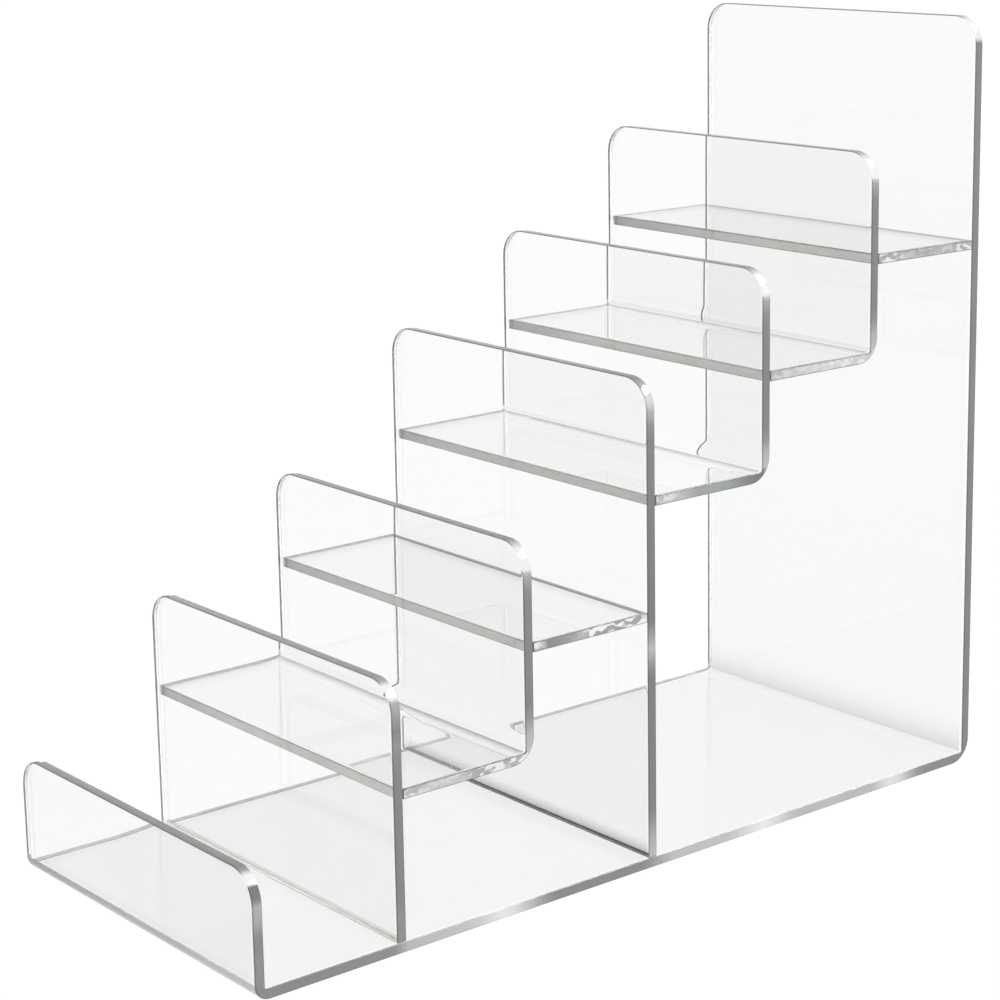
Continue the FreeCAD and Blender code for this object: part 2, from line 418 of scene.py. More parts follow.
FLOOR_TONES: ToneStops = (
    (0.0, "#8A8A8A"), (44.0, "#8C8C8C"), (49.0, "#C2C2C2"), (70.0, "#C6C6C6"), (76.0, "#DCDCDC"),
    (82.0, "#F4F4F4"), (87.0, "#DCDCDC"), (91.0, "#C0C0C0"), (96.0, "#9A9A9A"), (101.0, "#888888"),
    (132.0, "#8A8A8A"), (138.0, "#A4A4A4"), (144.0, "#C6C6C6"), (168.0, "#C8C8C8"), (174.0, "#DCDCDC"),
    (180.0, "#F4F4F4"), (187.0, "#E0E0E0"), (193.0, "#C4C4C4"), (228.0, "#C2C2C2"), (234.0, "#E8E8E8"),
    (238.0, "#F2F2F2"), (242.0, "#D8D8D8"), (247.0, "#A4A4A4"), (252.0, "#8A8A8A"), (273.0, "#848484"))
SHELF_2_TONES: ToneStops = ((0.0, "#D0D0D0"), (20.0, "#DCDCDC"), (42.0, "#D8D8D8"))
SHELF_3_TONES: ToneStops = ((0.0, "#D8D8D8"), (4.0, "#888A8B"), (12.0, "#9A9B9C"), (20.0, "#BEBEBE"),
                            (42.0, "#B0B0B0"))
SHELF_4_TONES: ToneStops = ((0.0, "#B8B8B8"), (4.0, "#EAEAEA"), (9.0, "#C4C6C7"), (16.0, "#A6AAAD"),
                            (26.0, "#A9AEB2"), (34.0, "#8C9093"), (42.0, "#74777A"))
SHELF_5_TONES: ToneStops = ((0.0, "#C4C4C4"), (8.0, "#DADADA"), (24.0, "#E8E8E8"), (42.0, "#ECECEC"))
SHELF_6_TONES: ToneStops = ((0.0, "#9A9A9A"), (6.0, "#D0D0D0"), (14.0, "#AEAFB0"), (30.0, "#B6B7B7"),
                            (42.0, "#E0E0E0"))
# Painted glints, light and dark flecks, on each shelf's sawn end: millimetres back from its front, then a
# share from 0 to 1.
SHELF_2_GLINTS: GlintStops = ((0.0, 0.7), (4.0, 0.6), (7.0, 0.15), (18.0, 0.2), (24.0, 0.8), (42.0, 0.7))
SHELF_3_GLINTS: GlintStops = ((0.0, 0.8), (3.5, 0.6), (5.0, 0.0), (17.0, 0.1), (21.0, 1.0), (42.0, 0.9))
SHELF_4_GLINTS: GlintStops = ((0.0, 0.4), (6.0, 0.3), (11.0, 0.0), (42.0, 0.0))
SHELF_5_GLINTS: GlintStops = ((0.0, 0.3), (10.0, 0.2), (22.0, 0.15), (30.0, 0.35), (42.0, 0.3))
SHELF_6_GLINTS: GlintStops = ((0.0, 0.9), (7.0, 0.7), (12.0, 0.2), (32.0, 0.25), (36.0, 0.7), (42.0, 0.6))
# Painted shade on the shelves' front edges, darker at the left, and on the outside of the lip's bend:
# millimetres across the rack, then the tone.
FRONT_EDGE_TONES: ToneStops = (
    (0.0, "#868684"), (15.0, "#969694"), (35.0, "#ACACA8"), (60.0, "#BABAB5"), (90.0, "#BABAB5"),
    (120.0, "#BEBEB9"))
LIP_BEND_TONES: ToneStops = ((0.0, "#8E8E8C"), (40.0, "#9C9C9A"), (120.0, "#B4B4B0"))
# Painted shade on the risers' faces just above the foot, a light band on riser 2 and a dark line on riser 4:
# millimetres up, then the tone.
RISER_2_FOOT: ToneStops = ((0.0, "#C8C8C2"), (1.1, "#CECEC8"), (1.3, "#F7F7F7"), (4.0, "#F7F7F7"))
RISER_4_FOOT: ToneStops = ((0.0, "#606060"), (0.4, "#8A8A8A"), (0.7, "#BEBEBE"), (2.4, "#DEDEDE"),
                           (4.5, "#F7F7F7"))


@cache
def read_stops(stops: tuple) -> tuple:
    """Turn the colours of a run of stops into linear light, and its plain numbers into one-item tuples."""
    return tuple((place, linear(value) if isinstance(value, str) else (value,)) for place, value in stops)


def along(stops: tuple, at: float) -> list[float]:
    """Read a run of stops at one place.

    Args:
        stops: Places in order, each with a number or a hex colour.
        at: The place that is wanted.

    Returns:
        The numbers there, one for a number and four for a colour in linear light.
    """
    values = read_stops(stops)
    for (start, first), (end, second) in zip(values, values[1:]):
        if at <= end:
            share = min(max((at - start) / (end - start), 0.0), 1.0)
            return [a + (b - a) * share for a, b in zip(first, second)]
    return list(values[-1][1])


@dataclass
class AcrylicSheet:
    """One sheet of acrylic: an outline across the rack's width, extruded, bent, rounded and polished."""

    node: str
    thickness: float = 3.0 * MILLIMETRE
    bend_inner_radius: float = 0.5 * MILLIMETRE
    rear_bend_radius: float = 7.5 * MILLIMETRE
    corner_radius: float = 9.0 * MILLIMETRE
    arris_width: float = 0.3 * MILLIMETRE
    bend_inner_steps: int = 4
    bend_outer_steps: int = 14
    corner_steps: int = 16
    arris_steps: int = 2
    sharp_angle: float = 60.0
    clear_tone: str = "#F7F7F7"
    # Painted: a white highlight beside each end of a face, dark arris outlines and the left end's dark line
    # as shade, and an even grey on the left end of level runs.
    border_tone: str = "#FFFFFF"
    border_width: float = 1.0 * MILLIMETRE
    outline_tone: str = "#6A6B6B"
    far_end_tone: str = "#484949"
    level_end_tone: str = "#C4C4C4"
    far_line_width: float = 1.5 * MILLIMETRE
    outline_share: float = 0.66
    lit_from: float = 0.7
    lit_span: float = 0.25
    far_end_slope: float = 0.02
    first_loop: float = 1.5 * MILLIMETRE
    shaded_run: float = 6.0 * MILLIMETRE
    loop_spacing: float = 4.0 * MILLIMETRE
    across_loops: tuple[float, ...] = (1.0, 1.3, 3.0, 6.0, 10.0, 24.0, 45.0, 75.0, 96.0, 110.0, 118.7, 119.0)
    near_arris: float = 0.6 * MILLIMETRE
    corner_gap: float = 4e-6
    touch: float = 1e-6
    flatness: int = 100

    def __post_init__(self) -> None:
        """Look up the corners of the node's box once."""
        self.low, self.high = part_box(self.node)

    def outline(self) -> Outline:
        """Return the outline's corners, back and up, in the order that goes round them."""
        low, high = self.low, self.high
        return [(low.y, low.z), (high.y, low.z), (high.y, high.z), (low.y, high.z)]

    def bends(self) -> list[tuple[float, float, float]]:
        """Return where the inside edge of each bend is, back and up, and its outside radius."""
        return []

    def free_tops(self) -> list[tuple[float, float]]:
        """Return the front face and the top of each upright whose top corners are round."""
        return []

    def back_loops(self) -> list[float]:
        """Return how far back the loops across a level run are."""
        return []

    def up_loops(self) -> list[float]:
        """Return how far up the loops across an upright run are."""
        return []

    def edge_tone(self, point: Vector, normal: Vector) -> list[float]:
        """Return the tone of the cut edge at a point."""
        raise NotImplementedError

    def face_tone(self, point: Vector, normal: Vector) -> list[float]:
        """Return the tone of the clear face at a point."""
        return list(linear(self.clear_tone))

    def glint_share(self, point: Vector) -> float:
        """Return how much painted glint the cut edge has at a point, from 0 to 1."""
        return 0.0

    def scuff_share(self, point: Vector, normal: Vector) -> float:
        """Return how scuffed the clear face is at a point, from 0 to 1."""
        return 0.0

    def mark_bends(self, mesh: bmesh.types.BMesh) -> None:
        """Give the outside of a bend another slot, where the sheet has such a bend."""

    def build(self) -> bpy.types.Object:
        """Build the sheet's mesh.

        Returns:
            The sheet, with its place in its mesh.
        """
        low, high = self.low, self.high
        mesh = bmesh.new()
        ring = [mesh.verts.new((low.x, back, up)) for back, up in self.outline()]
        side = mesh.faces.new(ring)
        grown = bmesh.ops.extrude_face_region(mesh, geom=[side])
        moved = [item for item in grown["geom"] if isinstance(item, bmesh.types.BMVert)]
        bmesh.ops.translate(mesh, verts=moved, vec=(high.x - low.x, 0, 0))
        bmesh.ops.recalc_face_normals(mesh, faces=mesh.faces)
        self.mark_cut_edges(mesh)
        for back, up, outer_radius in self.bends():
            self.round_bend(mesh, back, up, outer_radius)
        mesh.normal_update()
        self.mark_bends(mesh)
        for front, top in self.free_tops():
            self.round_edges(mesh, self.corner_radius, self.corner_steps, lambda a, b: (
                abs(a.x - b.x) < self.touch and abs(a.z - top) < self.touch and abs(b.z - top) < self.touch
                and front - self.touch < min(a.y, b.y) and max(a.y, b.y) < front + self.thickness + self.touch
            ))
        across = [low.x + place * MILLIMETRE for place in self.across_loops]
        line = [front + self.far_line_width for front, _ in self.free_tops()]
        for places, direction in ((self.back_loops() + line, (0, 1, 0)), (self.up_loops(), (0, 0, 1)),
                                  (across, (1, 0, 0))):
            for place in places:
                bmesh.ops.bisect_plane(mesh, geom=[*mesh.verts, *mesh.edges, *mesh.faces],
                                       plane_co=Vector(direction) * place, plane_no=direction,
                                       dist=self.touch)
        self.scrape_arrises(mesh)
        bmesh.ops.recalc_face_normals(mesh, faces=mesh.faces)
        self.record_tones(mesh)
        return self.as_object(mesh)

    def spaced(self, start: float, end: float) -> list[float]:
        """Return evenly spaced places from start to end, both included."""
        count = max(1, round((end - start) / self.loop_spacing))
        return [start + (end - start) * step / count for step in range(count + 1)]

    def below_corners(self, top: float) -> float:
        """Return how far up the last loop is, just under the round corners of a top."""
        return top - self.corner_radius - self.corner_gap

    def record_tones(self, mesh: bmesh.types.BMesh) -> None:
        """Store the tone of the surface, painted highlights and shade included, and its scuffs or painted
        glints, at each corner of each face.

        The left end gets its own painted dark line, white or grey, and no glints.

        Args:
            mesh: The finished sheet.
        """
        tones = mesh.loops.layers.float_color.new(TONE_LAYER)
        wear_and_glint = mesh.loops.layers.float.new(WEAR_AND_GLINT_LAYER)
        mesh.normal_update()
        for face in mesh.faces:
            surface = Surface(face.material_index)
            for loop in face.loops:
                point = loop.vert.co
                if surface is Surface.FACE:
                    loop[tones] = self.bordered(self.face_tone(point, face.normal), point)
                    loop[wear_and_glint] = self.scuff_share(point, face.normal)
                elif face.normal.x < -self.far_end_slope:
                    loop[tones] = self.far_end_at(face.calc_center_median())
                elif surface is Surface.CUT_EDGE:
                    loop[tones] = self.edge_tone(point, face.normal)
                    loop[wear_and_glint] = self.glint_share(point)
                else:
                    loop[tones] = self.outline_at(point, face.normal)

    def bordered(self, tone: list[float], point: Vector) -> list[float]:
        """Return a face's tone, or a painted white highlight right beside the sheet's two ends."""
        to_end = min(point.x - self.low.x, self.high.x - point.x)
        return list(linear(self.border_tone)) if to_end < self.border_width + self.touch else tone

    def far_end_at(self, middle: Vector) -> list[float]:
        """Return the left end's painted tone: an even painted grey on a level run; on an upright a painted
        dark front line with painted white behind it.

        Args:
            middle: The middle of one of the end's faces.

        Returns:
            The tone of that whole face.
        """
        if not self.is_upright(middle):
            return list(linear(self.level_end_tone))
        fronts = [front for front, _ in self.free_tops()]
        nearest = min(fronts, key=lambda front: abs(middle.y - front - self.thickness / 2))
        in_line = middle.y < nearest + self.far_line_width
        return list(linear(self.far_end_tone if in_line else self.border_tone))

    def outline_at(self, point: Vector, normal: Vector) -> list[float]:
        """Return the outline's painted tone: darker than the cut edge beside it as painted shade, unless that
        edge is bright.

        Args:
            point: A corner of a face.
            normal: The face's normal.

        Returns:
            The tone there.
        """
        tone = self.edge_tone(point, normal)
        lit = min(max((tone[0] - self.lit_from) / self.lit_span, 0.0), 1.0)
        share = self.outline_share + (1 - self.outline_share) * lit
        return [part * share for part in tone[:3]] + [1.0]

    def mark_cut_edges(self, mesh: bmesh.types.BMesh) -> None:
        """Give the narrow faces and the two ends the cut edge's slot.

        Args:
            mesh: The extruded sheet.
        """
        for face in mesh.faces:
            across = abs(face.normal.x) > PARTLY
            narrow = min(edge.calc_length() for edge in face.edges) < self.thickness + self.touch
            cut = across or (narrow and len(face.verts) == 4)
            face.material_index = Surface.CUT_EDGE.value if cut else Surface.FACE.value
            face.smooth = True

    def round_edges(self, mesh: bmesh.types.BMesh, radius: float, steps: int, test: EdgeTest) -> None:
        """Round the edges whose two ends pass a test.

        Args:
            mesh: The sheet.
            radius: The rounding's radius.
            steps: How many facets make a quarter turn.
            test: Says whether an edge, given by its two ends, is rounded.
        """
        chosen = [edge for edge in mesh.edges if test(edge.verts[0].co, edge.verts[1].co)]
        bmesh.ops.bevel(mesh, geom=chosen, offset=radius, offset_type="OFFSET", segments=steps,
                        profile=0.5, affect="EDGES", clamp_overlap=False, material=-1)

    def round_bend(self, mesh: bmesh.types.BMesh, back: float, up: float, outer_radius: float) -> None:
        """Round a bend: crisp inside, wide outside.

        Args:
            mesh: The sheet.
            back: How far back the inside edge is.
            up: How far up it is.
            outer_radius: The outside radius.
        """
        low, high = self.low, self.high
        nearer_front = back < (low.y + high.y) / 2
        outer = (back - self.thickness if nearer_front else back + self.thickness, up - self.thickness)
        for (at, height), radius, steps in (((back, up), self.bend_inner_radius, self.bend_inner_steps),
                                            (outer, outer_radius, self.bend_outer_steps)):
            self.round_edges(mesh, radius, steps, lambda a, b: all(
                abs(end.y - at) < self.touch and abs(end.z - height) < self.touch for end in (a, b)))

    def scrape_arrises(self, mesh: bmesh.types.BMesh) -> None:
        """Take a hair off every edge where two surfaces meet sharply, in the arris slot.

        Args:
            mesh: The sheet, bent and rounded.
        """
        sharp = [edge for edge in mesh.edges if edge.calc_face_angle(0) > math.radians(self.sharp_angle)]
        made = bmesh.ops.bevel(mesh, geom=sharp, offset=self.arris_width, offset_type="OFFSET",
                               segments=self.arris_steps, profile=0.5, affect="EDGES",
                               clamp_overlap=False, material=-1)
        for face in made["faces"]:
            face.material_index = Surface.ARRIS.value
            face.smooth = True

    def is_upright(self, point: Vector) -> bool:
        """Return whether a point is on an upright run, above the sheet's level run."""
        return point.z > self.low.z + self.thickness + self.bend_inner_radius

    def as_object(self, mesh: bmesh.types.BMesh) -> bpy.types.Object:
        """Turn the finished mesh into an object whose flat faces are shaded flat.

        Args:
            mesh: The finished mesh, which is freed.

        Returns:
            The object.
        """
        piece = add_object(self.node + "_acrylic", mesh)
        weight = piece.modifiers.new("flat faces stay flat", "WEIGHTED_NORMAL")
        weight.mode = "FACE_AREA"
        weight.weight = self.flatness
        weight.keep_sharp = False
        return piece

    def dress(self, piece: bpy.types.Object, finishes: Finishes) -> None:
        """Give the sheet its finishes and declare what it stands for.

        Args:
            piece: The built sheet.
            finishes: The shared finishes.
        """
        for material in (finishes.face, finishes.cut_edge, finishes.arris):
            piece.data.materials.append(material)
        piece.visible_shadow = False
        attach(piece, "root")
        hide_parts(self.node)


@dataclass
class FlatRiser(AcrylicSheet):
    """A flat upright with round top corners, cemented to the floor by its foot."""

    # Painted greys on the cut edge by depth under the top and on the foot, and painted shade on the faces
    # just above the foot.
    tones: ToneStops = UPRIGHT_TONES
    foot_tone: str = "#888888"
    foot_shade: ToneStops = ((0.0, "#B8B8B8"), (1.2, "#DADADA"), (3.0, "#F7F7F7"))

    def free_tops(self) -> list[tuple[float, float]]:
        """The riser's own top."""
        return [(self.low.y, self.high.z)]

    def up_loops(self) -> list[float]:
        """Loops from just above the foot to just under the round corners."""
        near_foot = [self.low.z + reach * MILLIMETRE for reach, _ in self.foot_shade[1:]]
        return near_foot + self.spaced(self.low.z + self.shaded_run, self.below_corners(self.high.z))

    def is_upright(self, point: Vector) -> bool:
        """All of it stands."""
        return True

    def edge_tone(self, point: Vector, normal: Vector) -> list[float]:
        """The foot's painted grey, or the painted grey by how far a point is below the top."""
        at_foot = normal.z < -PARTLY or (abs(normal.x) < HARDLY and point.z < self.low.z + self.near_arris)
        return (list(linear(self.foot_tone)) if at_foot
                else along(self.tones, (self.high.z - point.z) / MILLIMETRE))

    def face_tone(self, point: Vector, normal: Vector) -> list[float]:
        """Clear, with a soft shade just above the foot."""
        return along(self.foot_shade, (point.z - self.low.z) / MILLIMETRE)


@dataclass
class Shelf(AcrylicSheet):
    """What the flat and the bent shelves share: the level run, its front edge and its soft rear shade."""

    shelf_tones: ToneStops = SHELF_2_TONES
    glints: GlintStops = SHELF_2_GLINTS
    # Painted light: the level run is tinted a little lighter than the upright faces.
    shelf_tone: str = "#FAFAFA"
    rear_shade: ToneStops = ((0.0, "#909090"), (1.0, "#BCBCBC"), (2.2, "#E0E0E0"), (4.0, "#FAFAFA"))
    far_shade: ToneStops = ((0.0, "#8C8C8C"), (1.0, "#A8A8A8"), (3.0, "#D8D8D8"), (6.0, "#FAFAFA"))

    def rear_line(self) -> float:
        """Return how far back the shelf's upper face ends."""
        return self.high.y

    def back_loops(self) -> list[float]:
        """Loops along the shelf, closer together where the soft shade is."""
        shaded = [self.rear_line() - reach * MILLIMETRE for reach, _ in reversed(self.rear_shade[1:])]
        return self.spaced(self.low.y + self.first_loop, self.rear_line() - self.shaded_run) + shaded

    def edge_tone(self, point: Vector, normal: Vector) -> list[float]:
        """The front edge's tone across the rack, or the end's along the shelf."""
        at_front = abs(normal.y) > MOSTLY and abs(normal.x) < PARTLY
        return (along(FRONT_EDGE_TONES, (point.x - self.low.x) / MILLIMETRE) if at_front
                else along(self.shelf_tones, (point.y - self.low.y) / MILLIMETRE))

    def face_tone(self, point: Vector, normal: Vector) -> list[float]:
        """Return clear, with a soft shade on the upper face along the rear and the far end.

        Args:
            point: A corner of a face.
            normal: The face's normal.

        Returns:
            The tone there.
        """
        if self.is_upright(point) and abs(normal.z) < MOSTLY:
            return list(linear(self.clear_tone))
        if normal.z < MOSTLY:
            return list(linear(self.shelf_tone))
        rear = along(self.rear_shade, (self.rear_line() - point.y) / MILLIMETRE)
        far = along(self.far_shade, (point.x - self.low.x) / MILLIMETRE)
        return min(rear, far)

    def bordered(self, tone: list[float], point: Vector) -> list[float]:
        """No painted white border beside the far end of the shelf's level run."""
        near_far_end = point.x < self.low.x + self.border_width + self.touch
        return tone if near_far_end and not self.is_upright(point) else super().bordered(tone, point)

    def outline_at(self, point: Vector, normal: Vector) -> list[float]:
        """The shelf's front edge and sawn ends keep a painted dark outline of shade, except above the front
        edge.
        """
        as_usual = self.is_upright(point) or (abs(normal.x) < HARDLY and normal.z > 0)
        return super().outline_at(point, normal) if as_usual else list(linear(self.outline_tone))

    def glint_share(self, point: Vector) -> float:
        """The painted glints along the shelf's sawn ends."""
        at_end = min(point.x - self.low.x, self.high.x - point.x) < self.near_arris
        return along(self.glints, (point.y - self.low.y) / MILLIMETRE)[0] if at_end else 0.0


@dataclass
class FlatShelf(Shelf):
    """A plain strip cemented between two uprights."""


@dataclass
class BentShelf(Shelf):
    """A shelf bent up at its rear into the next tier's riser."""

    # Painted greys on the riser's cut edge: by depth under the top, and just above the bend as shade.
    tones: ToneStops = UPRIGHT_TONES
    bend_tones: ToneStops = ((0.0, "#C6C6C6"), (5.0, "#BEBEBE"), (11.0, "#888888"))

    def outline(self) -> Outline:
        """Return the shelf and its riser, square at the bend.

        Returns:
            The outline's corners, back and up.
        """
        low, high = self.low, self.high
        wall, top = high.y - self.thickness, low.z + self.thickness
        return [(low.y, low.z), (high.y, low.z), (high.y, high.z), (wall, high.z), (wall, top), (low.y, top)]

    def bends(self) -> list[tuple[float, float, float]]:
        """The one bend, where the shelf meets its riser."""
        return [(self.rear_line(), self.low.z + self.thickness, self.rear_bend_radius)]

    def free_tops(self) -> list[tuple[float, float]]:
        """The riser's top."""
        return [(self.rear_line(), self.high.z)]

    def rear_line(self) -> float:
        """The upper face ends at the riser."""
        return self.high.y - self.thickness

    def up_loops(self) -> list[float]:
        """Loops from just above the bend to just under the round corners."""
        above_bend = self.low.z + self.thickness + self.first_loop
        return self.spaced(above_bend, self.below_corners(self.high.z))

    def edge_tone(self, point: Vector, normal: Vector) -> list[float]:
        """Return the riser's tone by height, or the shelf's.

        Args:
            point: A corner of a face.
            normal: The face's normal.

        Returns:
            The tone there.
        """
        if not self.is_upright(point):
            return super().edge_tone(point, normal)
        above_bend = (point.z - self.low.z - self.thickness) / MILLIMETRE
        if above_bend < self.bend_tones[-1][0]:
            return along(self.bend_tones, above_bend)
        return along(self.tones, (self.high.z - point.z) / MILLIMETRE)

    def glint_share(self, point: Vector) -> float:
        """Only the shelf's own ends get painted glints."""
        return 0.0 if self.is_upright(point) else super().glint_share(point)


@dataclass
class BaseSheet(AcrylicSheet):
    """The front lip, the floor and the back, in one sheet with two bends."""

    lip_height: float = 35.0 * MILLIMETRE
    lip_bend_radius: float = 4.5 * MILLIMETRE
    clear_tone: str = "#F5F5F5"
    # Painted shade: the floor run is tinted a little darker than the lip and the back, and its left end is
    # painted an even grey.
    floor_tone: str = "#F3F3F3"
    level_end_tone: str = "#A8A8A8"
    bend_slope: float = 0.03
    back_shade: ToneStops = ((0.0, "#BCBCBC"), (1.5, "#C8C8C8"), (4.0, "#DEDEDE"), (8.0, "#EEEEEE"),
                             (12.0, "#F5F5F5"))

    def outline(self) -> Outline:
        """Return the lip, the floor and the back, square at the bends.

        Returns:
            The outline's corners, back and up.
        """
        low, high = self.low, self.high
        front, rear, floor = low.y + self.thickness, high.y - self.thickness, low.z + self.thickness
        lip = low.z + self.lip_height
        return [(low.y, low.z), (high.y, low.z), (high.y, high.z), (rear, high.z), (rear, floor),
                (front, floor), (front, lip), (low.y, lip)]

    def bends(self) -> list[tuple[float, float, float]]:
        """The bend under the lip and the bend under the back."""
        floor = self.low.z + self.thickness
        return [(self.low.y + self.thickness, floor, self.lip_bend_radius),
                (self.high.y - self.thickness, floor, self.rear_bend_radius)]

    def free_tops(self) -> list[tuple[float, float]]:
        """The lip's top and the back's top."""
        low, high = self.low, self.high
        return [(low.y, low.z + self.lip_height), (high.y - self.thickness, high.z)]

    def back_loops(self) -> list[float]:
        """Loops all along the floor."""
        clear = self.thickness + self.first_loop
        return self.spaced(self.low.y + clear, self.high.y - clear)

    def up_loops(self) -> list[float]:
        """Return the loops up the back; the lower ones cross the lip too.

        Returns:
            How far up each loop is.
        """
        lip = self.low.z + self.lip_height
        lower = self.spaced(self.low.z + self.thickness + self.first_loop, self.below_corners(lip))
        return lower + self.spaced(lip + self.thickness, self.below_corners(self.high.z))

    def is_lip(self, point: Vector) -> bool:
        """Return whether a point is on the front half."""
        return point.y < (self.low.y + self.high.y) / 2

    def mark_bends(self, mesh: bmesh.types.BMesh) -> None:
        """Give the outside of the lip's bend the cut edge's slot, which paints a grey band of shade on it
        like a cut edge.

        Args:
            mesh: The bent sheet.
        """
        for face in mesh.faces:
            if self.is_lip_bend(face.normal):
                face.material_index = Surface.CUT_EDGE.value

    def is_lip_bend(self, normal: Vector) -> bool:
        """Return whether a face turned this way is on the outside of the lip's bend."""
        return normal.y < -self.bend_slope and normal.z < -self.bend_slope and abs(normal.x) < self.bend_slope

    def edge_tone(self, point: Vector, normal: Vector) -> list[float]:
        """Return the lip's or the back's tone by height, or the floor's by how far back it is.

        Args:
            point: A corner of a face.
            normal: The face's normal.

        Returns:
            The tone there.
        """
        low, high = self.low, self.high
        if self.is_lip_bend(normal):
            return along(LIP_BEND_TONES, (point.x - low.x) / MILLIMETRE)
        if not self.is_upright(point):
            return along(FLOOR_TONES, (point.y - low.y) / MILLIMETRE)
        top = low.z + self.lip_height if self.is_lip(point) else high.z
        return along(LIP_TONES if self.is_lip(point) else BACK_TONES, (top - point.z) / MILLIMETRE)

    def outline_at(self, point: Vector, normal: Vector) -> list[float]:
        """No outline along the floor's upper arris."""
        on_floor = normal.z > 0 and not self.is_upright(point)
        return self.edge_tone(point, normal) if on_floor else super().outline_at(point, normal)

    def scuff_share(self, point: Vector, normal: Vector) -> float:
        """Both faces of the floor are dulled, by bottles above and by the table below."""
        return 1.0 if abs(normal.z) > MOSTLY else 0.0

    def face_tone(self, point: Vector, normal: Vector) -> list[float]:
        """Return the floor's tone, painted a little darker as shade, or clear with a soft shade up the inside
        of the back.

        Args:
            point: A corner of a face.
            normal: The face's normal.

        Returns:
            The tone there.
        """
        if abs(normal.z) > MOSTLY:
            return list(linear(self.floor_tone))
        if not self.is_lip(point) and normal.y < -MOSTLY:
            return along(self.back_shade, (point.z - (self.low.z + self.thickness)) / MILLIMETRE)
        return list(linear(self.clear_tone))


@dataclass
class CementSeam:
    """The film of cured cement in one butt joint, with the uneven rim that capillary flow leaves."""

    node: str
    clearance: float = 0.02 * MILLIMETRE
    rim_spacing: float = 1.5 * MILLIMETRE
    rim_draw: tuple[float, float] = (0.05 * MILLIMETRE, 0.4 * MILLIMETRE)
    rim_waves: float = 7.0 * MILLIMETRE
    touch: float = 0.002 * MILLIMETRE

    def build(self) -> bpy.types.Object:
        """Build the film, a hair clear of the sheets on both sides.

        Returns:
            The film, with its place in its mesh.
        """
        low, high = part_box(self.node)
        size = high - low - Vector((2 * self.clearance,) * 3)
        mesh = bmesh.new()
        bmesh.ops.create_cube(mesh, size=1.0)
        bmesh.ops.scale(mesh, vec=size, verts=mesh.verts)
        bmesh.ops.translate(mesh, vec=(low + high) / 2, verts=mesh.verts)
        for step in range(1, round(size.x / self.rim_spacing)):
            place = low.x + self.clearance + step * self.rim_spacing
            bmesh.ops.bisect_plane(mesh, geom=[*mesh.verts, *mesh.edges, *mesh.faces],
                                   plane_co=(place, 0, 0), plane_no=(1, 0, 0), dist=self.touch)
        self.draw_in_rim(mesh, AXIS_Y if size.y > size.z else AXIS_Z, (low + high) / 2)
        return add_object(self.node + "_cement", mesh)

    def draw_in_rim(self, mesh: bmesh.types.BMesh, axis: int, middle: Vector) -> None:
        """Draw the film's two long rims in by an uneven amount.

        Args:
            mesh: The film, cut into short lengths.
            axis: The axis across the film, AXIS_Y or AXIS_Z.
            middle: The film's middle.
        """
        least, most = self.rim_draw
        for vertex in mesh.verts:
            side = math.copysign(1.0, vertex.co[axis] - middle[axis])
            wave = noise.noise(Vector((vertex.co.x / self.rim_waves, side, middle.z / self.rim_waves)))
            vertex.co[axis] -= side * (least + (most - least) * (0.5 + 0.5 * wave))

    def dress(self, piece: bpy.types.Object, finishes: Finishes) -> None:
        """Give the film its finish and declare what it stands for.

        Args:
            piece: The built film.
            finishes: The shared finishes.
        """
        piece.data.materials.append(finishes.cement)
        piece.visible_shadow = False
        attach(piece, "root")
        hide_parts(self.node)


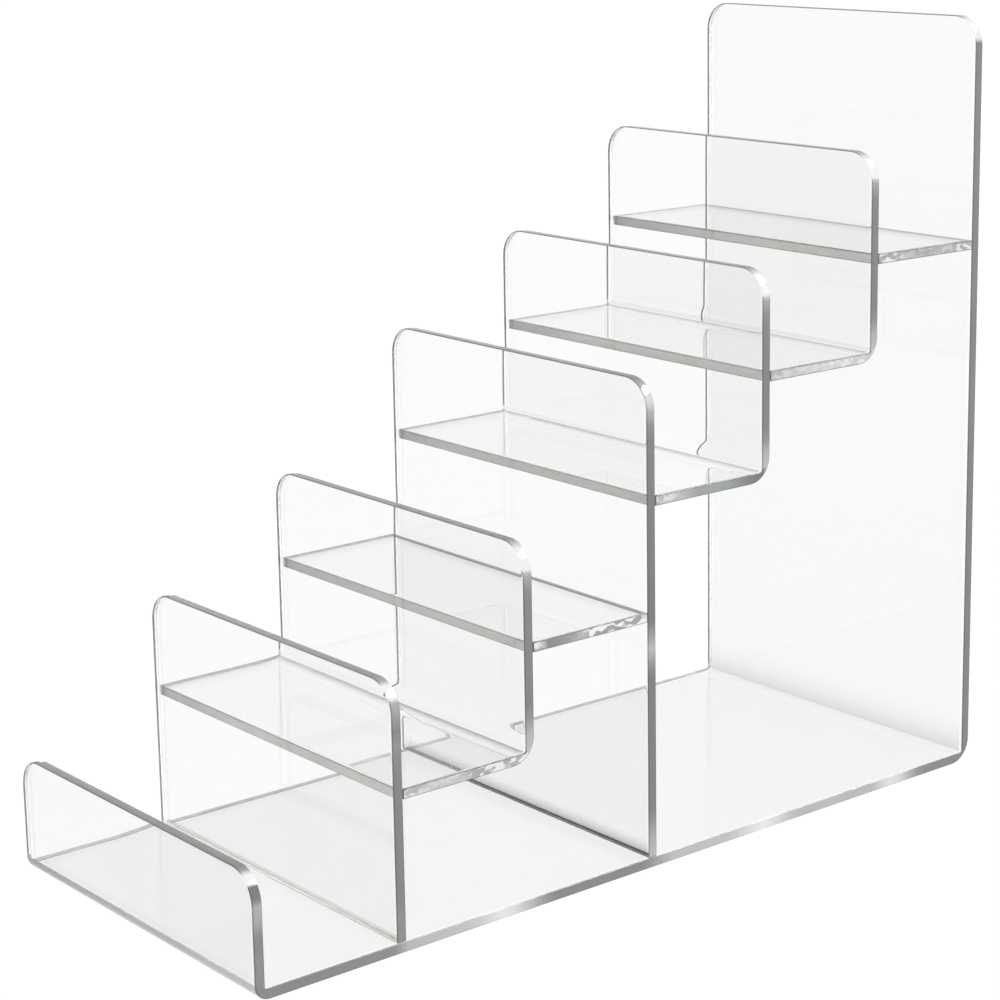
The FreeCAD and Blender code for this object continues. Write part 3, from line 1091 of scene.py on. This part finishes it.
@dataclass
class Studio:
    """A wide pale floor, a bright room, one softbox and the camera."""

    floor_size: float = 30.0
    floor_drop: float = 0.02 * MILLIMETRE
    bounces: int = 48
    horizon_light: float = 0.97
    overhead_light: float = 1.05
    softbox_place: tuple[float, float, float] = (0.55, 0.95, 1.15)
    softbox_aim: tuple[float, float, float] = (0.06, 0.0, 0.15)
    softbox_size: tuple[float, float] = (0.9, 0.4)
    softbox_watts: float = 24.0
    sensor: float = 36.0
    clip: tuple[float, float] = (0.01, 100.0)
    lens: float = 93.08
    standpoint: tuple[float, float, float] = (0.58622, -0.469175, 0.287173)
    heading: float = 49.428
    dip: float = 11.915
    roll: float = -0.545
    shift: tuple[float, float] = (-0.1, -0.1)

    def follow_light(self) -> None:
        """Follow light through every sheet in its way, and show it as it is."""
        scene = bpy.context.scene
        scene.view_settings.view_transform = "Standard"
        scene.cycles.max_bounces = self.bounces
        scene.cycles.transmission_bounces = self.bounces
        scene.cycles.transparent_max_bounces = self.bounces

    def lay_floor(self) -> None:
        """Lay the floor just under the rack."""
        mesh = bmesh.new()
        bmesh.ops.create_grid(mesh, x_segments=1, y_segments=1, size=self.floor_size / 2)
        bmesh.ops.translate(mesh, vec=(0, 0, -self.floor_drop), verts=mesh.verts)
        floor = add_object("studio_floor", mesh)
        floor.data.materials.append(StudioFloorPaint().material())

    def light_world(self) -> None:
        """Light the room with an even pale glow, a little dimmer towards the horizon."""
        world = bpy.data.worlds.new("studio")
        world.use_nodes = True
        tree = world.node_tree
        tree.nodes.clear()
        way = add_node(tree, "ShaderNodeTexCoord").outputs["Generated"]
        parts = add_node(tree, "ShaderNodeSeparateXYZ", links={"Vector": way})
        glow = add_node(tree, "ShaderNodeMapRange",
                        {"To Min": self.horizon_light, "To Max": self.overhead_light,
                         "interpolation_type": "SMOOTHSTEP"}, {"Value": parts.outputs["Z"]})
        background = add_node(tree, "ShaderNodeBackground", {"Color": linear(WHITE)},
                              {"Strength": glow.outputs["Result"]})
        output = add_node(tree, "ShaderNodeOutputWorld", links={"Surface": background.outputs[0]})
        output.is_active_output = True
        bpy.context.scene.world = world

    def hang_softbox(self) -> None:
        """Hang the one softbox behind the rack, on its right."""
        lamp = bpy.data.lights.new("rear_right", "AREA")
        lamp.shape = "RECTANGLE"
        lamp.size, lamp.size_y = self.softbox_size
        lamp.energy = self.softbox_watts
        item = bpy.data.objects.new("rear_right", lamp)
        item.location = self.softbox_place
        item.rotation_mode = "QUATERNION"
        way = Vector(self.softbox_aim) - Vector(self.softbox_place)
        item.rotation_quaternion = way.to_track_quat("-Z", "Y")
        item.visible_camera = item.visible_diffuse = item.visible_transmission = False
        bpy.context.scene.collection.objects.link(item)

    def set_camera(self) -> None:
        """Stand the camera to the right of the rack's front, a little above its top."""
        data = bpy.data.cameras.new("camera")
        data.sensor_width = self.sensor
        data.lens = self.lens
        data.shift_x, data.shift_y = self.shift
        data.clip_start, data.clip_end = self.clip
        camera = bpy.data.objects.new("camera", data)
        camera.location = self.standpoint
        camera.rotation_mode = "QUATERNION"
        up, across = Vector((0, 0, 1)), Vector((1, 0, 0))
        turned = Quaternion(up, math.radians(self.heading))
        dipped = Quaternion(across, math.radians(90 - self.dip))
        camera.rotation_quaternion = turned @ dipped @ Quaternion(up, math.radians(self.roll))
        bpy.context.scene.collection.objects.link(camera)
        bpy.context.scene.camera = camera


def main() -> None:
    """Build the rack piece by piece, light it and report each piece."""
    logging.basicConfig(level=logging.INFO, format="%(name)s: %(message)s")
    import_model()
    finishes = Finishes.make()
    sheets = [
        BaseSheet("base_sheet"),
        # Painted foot tones: a light band under riser 2, and a dark line with shade above it under riser 4.
        FlatRiser("tier_2_riser", tones=RISER_2_TONES, foot_tone="#E4E4DE", foot_shade=RISER_2_FOOT),
        BentShelf("tier_2_shelf", shelf_tones=SHELF_2_TONES, glints=SHELF_2_GLINTS),
        FlatShelf("tier_3_shelf", shelf_tones=SHELF_3_TONES, glints=SHELF_3_GLINTS),
        FlatRiser("tier_4_riser", tones=RISER_4_TONES, foot_tone="#5A5A5A", foot_shade=RISER_4_FOOT),
        BentShelf("tier_4_shelf", shelf_tones=SHELF_4_TONES, glints=SHELF_4_GLINTS),
        BentShelf("tier_5_shelf", shelf_tones=SHELF_5_TONES, glints=SHELF_5_GLINTS),
        FlatShelf("tier_6_shelf", shelf_tones=SHELF_6_TONES, glints=SHELF_6_GLINTS),
    ]
    seams = [CementSeam(f"tier_{tier}_floor_seam") for tier in (2, 4)]
    seams += [CementSeam(f"tier_{tier}_front_seam") for tier in range(2, 7)]
    seams += [CementSeam(f"tier_{tier}_rear_seam") for tier in (3, 6)]
    for part in sheets + seams:
        piece = part.build()
        part.dress(piece, finishes)
        LOG.info("%s: %d faces", piece.name, len(piece.data.polygons))
    studio = Studio()
    studio.follow_light()
    studio.lay_floor()
    studio.light_world()
    studio.hang_softbox()
    studio.set_camera()


if __name__ == "__main__":
    main()
